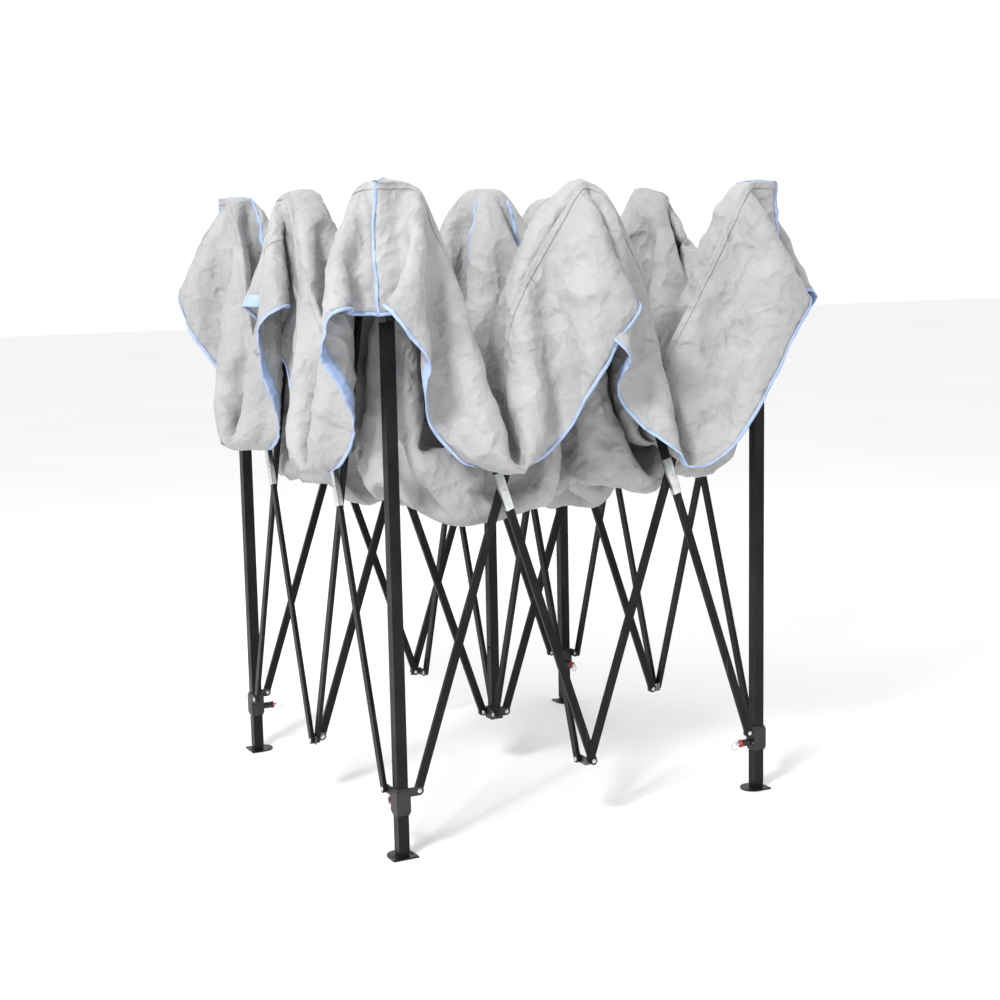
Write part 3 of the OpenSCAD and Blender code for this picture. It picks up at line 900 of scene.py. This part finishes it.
def cloth_piece(name, hung, flat, faces, uv, material, thickness):
    """A cloth piece on the root body that follows the frame, with UVs in metres of cloth and a real thickness."""
    made = new_object(name, hung.reshape(-1, 3), faces)
    layer = made.data.uv_layers.new(name="metres")
    index = np.empty(len(made.data.loops), np.int32)
    made.data.loops.foreach_get("vertex_index", index)
    corners = np.asarray(uv, np.float32).reshape(-1, 2)[index].reshape(-1, 4, 2)
    across = corners[:, :, 0]
    seam = np.ptp(across, axis=1) > EDGE                       # where a closed band's end meets its start
    across[seam] += np.where(across[seam] < EDGE, 8 * EDGE, 0)
    layer.data.foreach_set("uv", corners.ravel())
    made.data.materials.append(material)
    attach(made, "hub_top")
    follow_frame(made, hung, flat, bpy.data.objects["fold_cage"])
    sheet = made.modifiers.new("thickness", "SOLIDIFY")
    sheet.thickness = thickness
    sheet.offset = 0
    return made


def ribbon_piece(name, net, row, column, lift, material, closed=False):
    """A tape or a row of stitching laid on a net. row and column broadcast to (along, across)."""
    row, column = np.broadcast_arrays(row, column)
    hung, flat = net.ribbon(row, column, lift)
    count, across = hung.shape[:2]
    last = count if closed else count - 1
    faces = [(i * across + j, i * across + j + 1, (i + 1) % count * across + j + 1, (i + 1) % count * across + j)
             for i in range(last) for j in range(across - 1)]
    step = np.linalg.norm(np.diff(flat[:, 0], axis=0), axis=1)
    uv = np.stack(np.broadcast_arrays(np.concatenate([[0], np.cumsum(step)])[:, None],
                                      np.linspace(0, 0.02, across)[None, :]), -1)
    return cloth_piece(name, hung, flat, faces, uv, material, TAPE_T)


def crumple(grid, wrap, u, v, fade, seeds, heights, pitches):
    """Pushes a hung net in and out along its normals, in long creases and short ones."""
    depth = sum(height * (ridged(u, v, seed, pitch) - 0.4) for height, seed, pitch in zip(heights, seeds, pitches))
    grid += normals_of(grid, wrap) * (fade * depth)[..., None]


def sew(roof, skirt, cell, drop, cloth, tape):
    """The hem binding, the taped corners and hips, and the felled seams of the valance."""
    n, m = roof.hung.shape[0] - 1, skirt.hung.shape[0] - 1
    inward = 1 if np.mean(skirt.out_flat[m // 2, :n // 2, 1]) > 0 else -1         # the front's inside is towards +Y
    topward = 1 if roof.out_flat[n // 2, n // 4, 2] > 0 else -1
    lie = 0.108 * cell                                                            # clear of the cloth's flat cells
    columns = np.arange(4 * n, dtype=float)[:, None]

    heights = np.array([0.030, 0.029, 0.018, 0.008, 0.0015, -0.0014, 0.0012, 0.004, 0.007])
    lift = inward * np.array([lie * 0.4, lie, lie, lie, lie, 0, -lie, -lie, -lie * 0.6])
    trims = [ribbon_piece("hem_binding", skirt, m - heights[None, :] / drop, columns, lift, tape, closed=True)]

    width = np.array([-0.0055, -0.0035, 0, 0.0035, 0.0055])
    crown = np.array([0.3, 1.3, 1.7, 1.3, 0.3]) * lie
    down = np.linspace(0, m, 2 * m + 1)[:, None]
    steps = np.arange(0, 0.485 * n, 0.5)[:, None]                                 # from a corner to by the hub
    aside = width[None, :] / cell / math.sqrt(2)
    for k, (leg, corner) in enumerate(zip(LEGS, ((0, 0), (n, 0), (n, n), (0, n)))):
        trims.append(ribbon_piece(f"{leg}_corner_seam", skirt, down, k * n + width[None, :] / cell,
                                  -inward * crown, tape))
        across, along = (1 if start == 0 else -1 for start in corner)
        row = corner[0] + across * steps + aside * across
        column = corner[1] + along * steps - aside * along
        trims.append(ribbon_piece(f"{leg}_hip_seam", roof, row, column, topward * crown, tape))

    felled = np.array([0.001, 0.003, 0.005, 0.009, 0.013, 0.015, 0.017])          # across a double-stitched seam
    ridges = -inward * (np.array([0.4, 1.6, 1.1, 1.8, 1.1, 1.6, 0.4]) * lie)
    trims.append(ribbon_piece("eave_seam", skirt, felled[None, :] / drop, columns, ridges,
                              cloth, closed=True))
    panel_reach, panel_drop = 0.42, 0.115
    span = np.arange(3.5 * n - panel_reach / cell, 3.5 * n + panel_reach / cell, 0.5)[:, None]
    trims.append(ribbon_piece("left_panel_seam", skirt, (panel_drop + felled[None, :]) / drop, span, ridges,
                              cloth))
    return trims


def make_canopy():
    fold_cage()
    canopy = Canopy(84, 8)
    drape(canopy)
    roof_hung, roof_flat = (finer(p[canopy.roof], False) for p in (canopy.hung, canopy.flat))
    skirt_hung, skirt_flat = (finer(p[canopy.skirt], True) for p in (canopy.hung, canopy.flat))
    for roof, skirt in ((roof_hung, skirt_hung), (roof_flat, skirt_flat)):
        skirt[0] = np.concatenate([roof[:-1, 0], roof[-1, :-1], roof[:0:-1, -1], roof[0, :0:-1]])
    n, m = roof_hung.shape[0] - 1, skirt_hung.shape[0] - 1
    skirt_flat[..., :2] *= 1 + HEM_SWING * (np.arange(m + 1) / m)[:, None, None]
    cell, drop = 2 * EDGE / n, VALANCE / m

    u, v = np.meshgrid(np.arange(n + 1) * cell - EDGE, np.arange(n + 1) * cell - EDGE, indexing="ij")
    to_rim = EDGE - np.maximum(abs(u), abs(v))
    fade = np.clip(to_rim / 0.06, 0, 1) * np.clip((np.hypot(u, v) - 0.06) / 0.1, 0, 1)
    crumple(roof_hung, False, u, v, fade, (11, 12), (0.0090, 0.0050), (0.21, 0.085))
    s, t = np.meshgrid(np.arange(4 * n) * cell, np.arange(m + 1) * drop, indexing="xy")
    crumple(skirt_hung, True, s, t, np.clip(t / 0.06, 0, 1), (13, 14), (0.0075, 0.0042), (0.19, 0.08))

    cloth = cloth_material("canopy_cloth", (0.45, 0.45, 0.453), (0.35, 0.35, 0.356), 300)
    tape = cloth_material("edge_binding", (0.42, 0.54, 0.80), (0.34, 0.46, 0.72), 500)
    roof, skirt = Net(roof_hung, roof_flat, False), Net(skirt_hung, skirt_flat, True)
    roof_piece = cloth_piece("canopy_roof_cloth", roof_hung, roof_flat, roof.faces(),
                             np.stack([u, v], -1), cloth, CLOTH_T)
    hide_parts("canopy")
    skirt_piece = cloth_piece("canopy_valance_cloth", skirt_hung, skirt_flat, skirt.faces(),
                              np.stack([s, t], -1), cloth, CLOTH_T)
    trims = sew(roof, skirt, cell, drop, cloth, tape)


def add_corner_strap(materials):
    """The webbing loop and clip that tie the front left corner of the valance to its leg."""
    place = Vector((-HALF, -HALF, EAVE - VALANCE))
    loop, width, wall = LEG_W + 0.0036, 0.024, 0.0012
    webbing = rounded_tube(place, Vector((0, 0, width)), Vector((1, 0, 0)), (loop, loop), wall, 0.003)
    buckle = rounded_tube(place + Vector((-0.017, -0.017, 0.002)), Vector((0, 0, 0.034)), Vector((1, -1, 0)),
                          (0.020, 0.009), 0.002, 0.002)
    piece("front_left_corner_strap", [webbing, buckle], materials["black_plastic"], "front_left_leg",
          40)


# ---------------------------------------------------------------- all together

make_camera()
make_studio()
finishes = slot_materials()
dress_nodes(finishes)
add_rivets(finishes["zinc_steel"])
add_sleeves(finishes["zinc_steel"])
add_pull_pins(finishes)
add_slider_trim(finishes)
add_feet(finishes)
add_corner_strap(finishes)
make_canopy()
